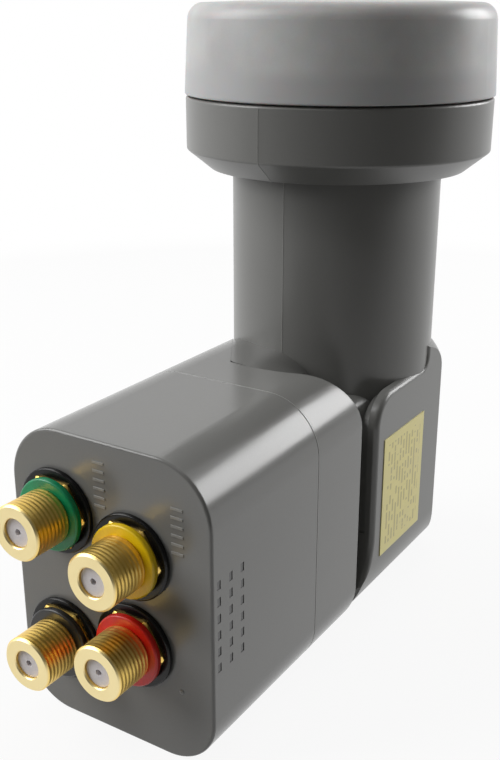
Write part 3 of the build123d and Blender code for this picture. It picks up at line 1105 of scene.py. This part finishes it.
@dataclass
class InnerWorks:
    """Cast horn and chassis, cover, boards, probes and chips inside the housing."""

    def build(self) -> None:
        """Dress the pieces that the housing hides."""
        cast = Finish(
            "cast_metal",
            colour=(0.58, 0.58, 0.57),
            shade=(0.46, 0.46, 0.45),
            gloss=(0.38, 0.52),
            relief=0.03 * MM,
            metallic=1.0,
        ).material()
        steel = Finish(
            "screw_steel",
            colour=(0.5, 0.5, 0.5),
            shade=(0.4, 0.4, 0.39),
            gloss=(0.28, 0.4),
            cloud=2 * MM,
            metallic=1.0,
        ).material()
        laminate = Finish(
            "board_laminate",
            colour=(0.03, 0.16, 0.07),
            shade=(0.02, 0.12, 0.05),
            cloud=4 * MM,
            coat=0.3,
        ).material()
        chip = Finish(
            "chip_black", colour=(0.025, 0.025, 0.026), shade=(0.018, 0.018, 0.018), cloud=2 * MM
        ).material()
        probe = Finish(
            "probe_gold",
            colour=(0.85, 0.64, 0.26),
            shade=(0.76, 0.54, 0.2),
            gloss=(0.28, 0.36),
            cloud=1 * MM,
            metallic=1.0,
        ).material()
        finishes = {
            "horn_chassis": cast,
            "backshort_cover": cast,
            "cover_screws": steel,
            "converter_board": laminate,
            "switch_board": laminate,
            "front_probe": probe,
            "side_probe": probe,
            "board_header": chip,
            "switch_chip": chip,
            "converter_chip": chip,
            "voltage_regulator": chip,
        }
        for node, finish in finishes.items():
            dress(node, finish)


@dataclass(frozen=True)
class SoftBox:
    """A large soft lamp that looks at the object's middle, with its azimuth and elevation in degrees."""

    name: str
    azimuth: float
    elevation: float
    width: float
    height: float
    power: float
    distance: float = 0.7
    target: Point = (0.0, -0.03, 0.06)

    def build(self) -> None:
        """Add the lamp."""
        lamp = bpy.data.lights.new(self.name, "AREA")
        lamp.shape = "RECTANGLE"
        lamp.size, lamp.size_y = self.width, self.height
        lamp.energy = self.power
        piece = bpy.data.objects.new(self.name, lamp)
        bpy.context.scene.collection.objects.link(piece)
        away = direction(self.azimuth, self.elevation)
        piece.location = Vector(self.target) + self.distance * away
        piece.rotation_euler = away.to_track_quat("Z", "Y").to_euler()
        piece.visible_camera = False


@dataclass
class Studio:
    """Pale floor, white surroundings, soft lamps and the camera."""

    azimuth: float = 32.46
    elevation: float = 19.78
    camera_place: Point = (0.09381, -0.17863, 0.11206)
    focal_pixels: float = 1029.5
    image_height: float = 760.0
    sensor: float = 36.0
    lamps: tuple[SoftBox, ...] = (
        SoftBox("left_soft_box", -57.0, 32.0, width=0.48, height=0.52, power=4.4),
        SoftBox("right_soft_box", 145.0, 21.5, width=0.42, height=0.32, power=3.1),
        SoftBox("front_soft_box", 5.0, 58.0, width=0.24, height=0.1, power=0.25),
    )
    floor_radius: float = 4.0
    floor_sides: int = 64
    floor_bounce: Colour = (0.2, 0.2, 0.2)
    paper_tones: tuple[Colour, Colour] = ((0.80, 0.80, 0.80), (0.82, 0.82, 0.82))
    paper_fibre: float = 30 * MM
    floor_white: float = 0.9
    floor_fade: tuple[float, float] = (0.12, 0.35)
    paper_edge: tuple[float, float] = (0.25, 0.12)
    room_light: float = 0.09
    room_colour: Colour = (1.0, 0.97, 0.91)
    backdrop_azimuth: float = 212.0
    backdrop_edge: tuple[float, float] = (-0.1, 0.7)
    backdrop_light: float = 0.9

    def camera(self) -> None:
        """Set the camera at the photograph's angle."""
        data = bpy.data.cameras.new("camera")
        data.lens = self.focal_pixels * self.sensor / self.image_height
        turn = direction(self.azimuth, self.elevation).to_track_quat("Z", "Y")
        piece = bpy.data.objects.new("camera", data)
        piece.matrix_world = Matrix.Translation(self.camera_place) @ turn.to_matrix().to_4x4()
        bpy.context.scene.collection.objects.link(piece)
        bpy.context.scene.camera = piece

    def world(self) -> None:
        """Dim room in front of the object, and a white backdrop behind it."""
        world = bpy.data.worlds.new("studio")
        bpy.context.scene.world = world
        sheet = NodeSheet("studio", world)
        towards = sheet.add("VectorMath", operation="DOT_PRODUCT")
        towards.inputs[1].default_value = direction(self.backdrop_azimuth)
        sheet.link(sheet.add("TexCoord").outputs["Generated"], towards.inputs[0])
        behind = sheet.step(towards.outputs["Value"], *self.backdrop_edge)
        room = sheet.add("Background")
        room.inputs["Color"].default_value = (*self.room_colour, 1.0)
        room.inputs["Strength"].default_value = self.room_light
        white = sheet.add("Background")
        white.inputs["Color"].default_value = (1.0, 1.0, 1.0, 1.0)
        lit = sheet.maths("MULTIPLY", behind, self.backdrop_light)
        mix = sheet.add("MixShader")
        sheet.link(sheet.maths("MAXIMUM", sheet.shown(behind), lit), mix.inputs["Fac"])
        sheet.link(room.outputs["Background"], mix.inputs[1])
        sheet.link(white.outputs["Background"], mix.inputs[2])
        output = sheet.add("OutputWorld")
        sheet.link(mix.outputs["Shader"], output.inputs["Surface"])

    def paper(self) -> bpy.types.Material:
        """White paper for the eye and in reflections, with a faint shadow and little bounce.

        Returns:
            The floor's material.
        """
        sheet = NodeSheet("floor_paper")
        bounce = sheet.add("BsdfDiffuse")
        bounce.inputs["Color"].default_value = (*self.floor_bounce, 1.0)
        pale = sheet.add("BsdfDiffuse")
        fibre = sheet.blend(sheet.noise(self.paper_fibre), *self.paper_tones)
        sheet.link(fibre, pale.inputs["Color"])
        white = sheet.add("Emission")
        distance = sheet.add("VectorMath", operation="LENGTH")
        sheet.link(sheet.place(), distance.inputs[0])
        far = sheet.step(distance.outputs["Value"], *self.floor_fade)
        cover = sheet.maths("MAXIMUM", far, self.floor_white)
        paper = sheet.add("MixShader")
        sheet.link(cover, paper.inputs["Fac"])
        sheet.link(pale.outputs["BSDF"], paper.inputs[1])
        sheet.link(white.outputs["Emission"], paper.inputs[2])
        forward = sheet.add("VectorMath", operation="DOT_PRODUCT")
        sheet.link(sheet.place(), forward.inputs[0])
        forward.inputs[1].default_value = direction(self.azimuth)
        near = sheet.step(forward.outputs["Value"], *self.paper_edge)
        mix = sheet.add("MixShader")
        sheet.link(sheet.shown(near), mix.inputs["Fac"])
        sheet.link(bounce.outputs["BSDF"], mix.inputs[1])
        sheet.link(paper.outputs["Shader"], mix.inputs[2])
        output = sheet.add("OutputMaterial")
        sheet.link(mix.outputs["Shader"], output.inputs["Surface"])
        return sheet.material

    def floor(self) -> None:
        """Lay the floor as a wide disc of paper."""
        turns = [2 * math.pi * index / self.floor_sides for index in range(self.floor_sides)]
        rim = [
            (self.floor_radius * math.cos(turn), self.floor_radius * math.sin(turn), 0.0)
            for turn in turns
        ]
        mesh = bpy.data.meshes.new("floor")
        mesh.from_pydata(rim, [], [tuple(range(self.floor_sides))])
        mesh.materials.append(self.paper())
        floor = bpy.data.objects.new("floor", mesh)
        bpy.context.scene.collection.objects.link(floor)

    def build(self) -> None:
        """Set up the whole studio."""
        bpy.context.scene.view_settings.view_transform = "Standard"
        self.world()
        self.floor()
        for lamp in self.lamps:
            lamp.build()
        self.camera()


def clear_stray_objects() -> None:
    """Remove whatever stood in the scene before the frame came in."""
    kept = set(frame["nodes"].values()) | set(frame["bodies"].values())
    for piece in list(bpy.data.objects):
        family = {piece, *piece.children_recursive}
        if not family & kept and piece.parent not in kept:
            bpy.data.objects.remove(piece)


def main() -> None:
    """Build the sub-assemblies and the studio."""
    logging.basicConfig(level=logging.INFO, format="%(name)s: %(message)s")
    clear_stray_objects()
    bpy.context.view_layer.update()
    for part in (FeedCap(), Housing(), SocketBank(), SideLabel(), InnerWorks()):
        part.build()
        log.info("finished %s", type(part).__name__)
    Studio().build()


if __name__ == "__main__":
    main()
